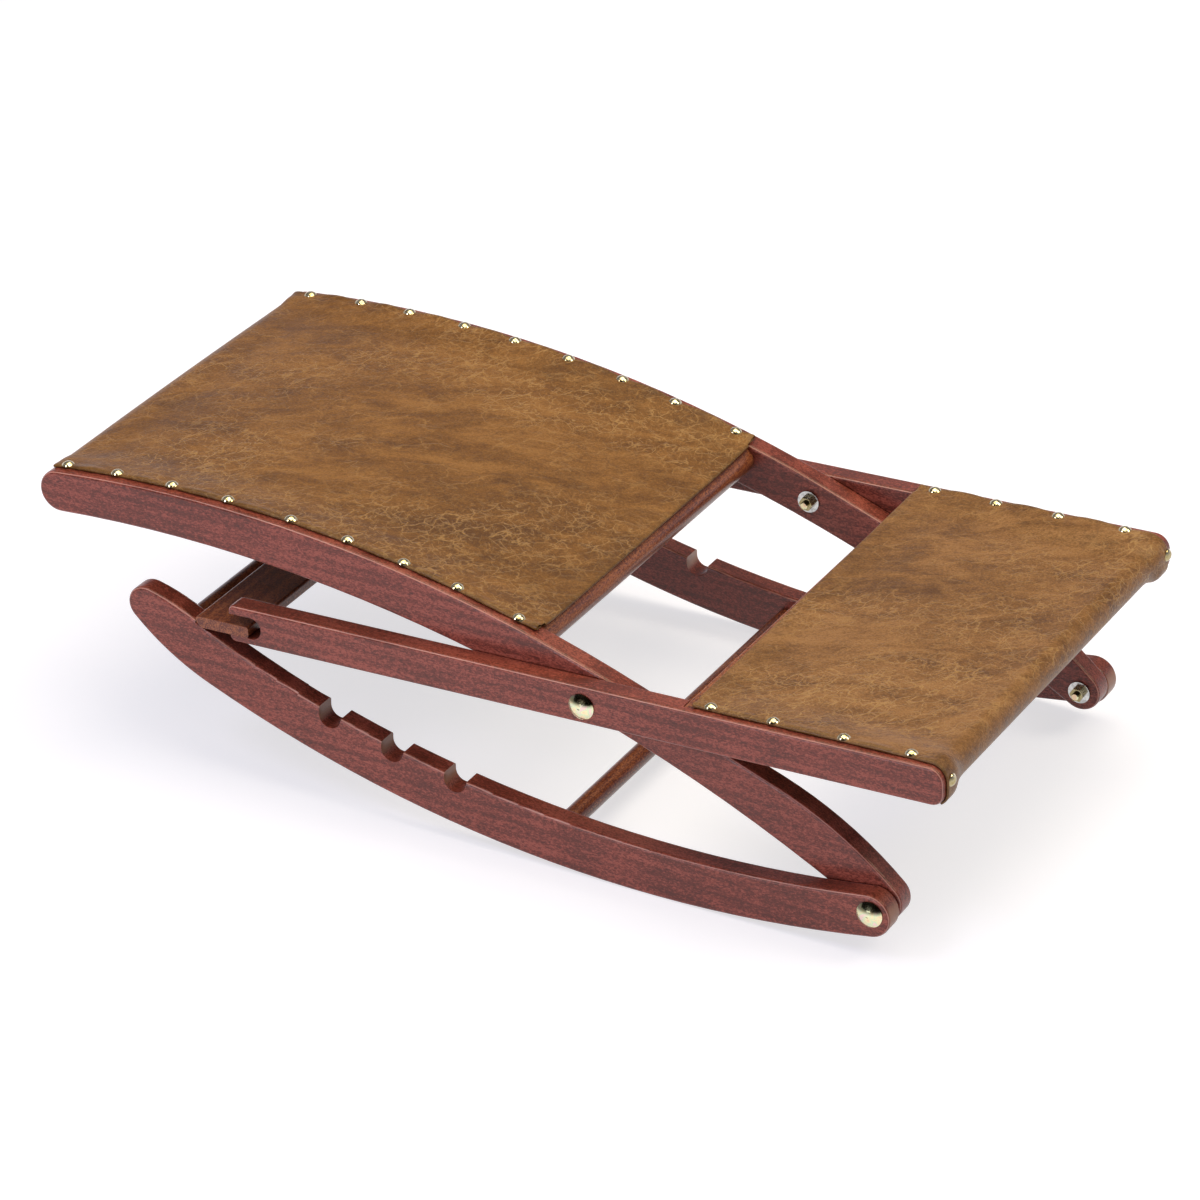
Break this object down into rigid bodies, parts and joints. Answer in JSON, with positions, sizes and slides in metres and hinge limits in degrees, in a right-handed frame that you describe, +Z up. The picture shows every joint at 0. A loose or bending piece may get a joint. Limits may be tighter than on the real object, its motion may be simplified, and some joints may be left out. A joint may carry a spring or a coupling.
{
  "type": "rocking footstool",
  "caption": "Low rocking footstool with curved rockers, a leather seat panel and a crossing leather foot panel that props up in notches.",
  "frame": {"origin": "on the floor under the middle of the stool's length and width", "axes": "+X towards the foot end, +Y towards the rear side, +Z up"},
  "size_m": [0.7719, 0.4144, 0.2238],
  "materials": {
    "stained_wood": "red-brown stain under satin lacquer",
    "tan_leather": "waxed tan hide",
    "brass_nails": "polished dome heads",
    "yellow_zinc_steel": "yellow zinc plating",
    "zinc_steel": "bright zinc plating"
  },
  "bodies": {
    "rocker_base": {"rocker_front": "stained_wood", "rocker_rear": "stained_wood", "stretcher_middle": "stained_wood", "stretcher_head": "stained_wood", "rocker_bolts": "yellow_zinc_steel", "rocker_washers": "zinc_steel", "rocker_nuts": "yellow_zinc_steel"},
    "seat_frame": {"seat_rail_front": "stained_wood", "seat_rail_rear": "stained_wood", "seat_bar_head": "stained_wood", "seat_bar_foot": "stained_wood", "seat_leather": "tan_leather", "seat_nails_front": "brass_nails", "seat_nails_rear": "brass_nails"},
    "foot_frame": {"foot_rail_front": "stained_wood", "foot_rail_rear": "stained_wood", "foot_bar_inner": "stained_wood", "foot_bar_end": "stained_wood", "prop_board": "stained_wood", "foot_leather": "tan_leather", "foot_nails_front": "brass_nails", "foot_nails_rear": "brass_nails", "foot_end_nails": "brass_nails", "cross_bolts": "yellow_zinc_steel", "cross_washers": "zinc_steel", "cross_nuts": "yellow_zinc_steel"}
  },
  "joints": [
    {"name": "seat_swing", "type": "hinge", "parent": "rocker_base", "child": "seat_frame", "pos_m": [0.327, 0, 0.0365], "axis": [0, 1, 0], "range_deg": [0, 41.7]},
    {"name": "foot_swing", "type": "hinge", "parent": "seat_frame", "child": "foot_frame", "pos_m": [0.0925, 0, 0.1435], "axis": [0, -1, 0], "range_deg": [0, 79.23]}
  ],
  "couplings": [
    {"joint": "foot_swing", "follows": "seat_swing", "ratio": 1.9}
  ]
}
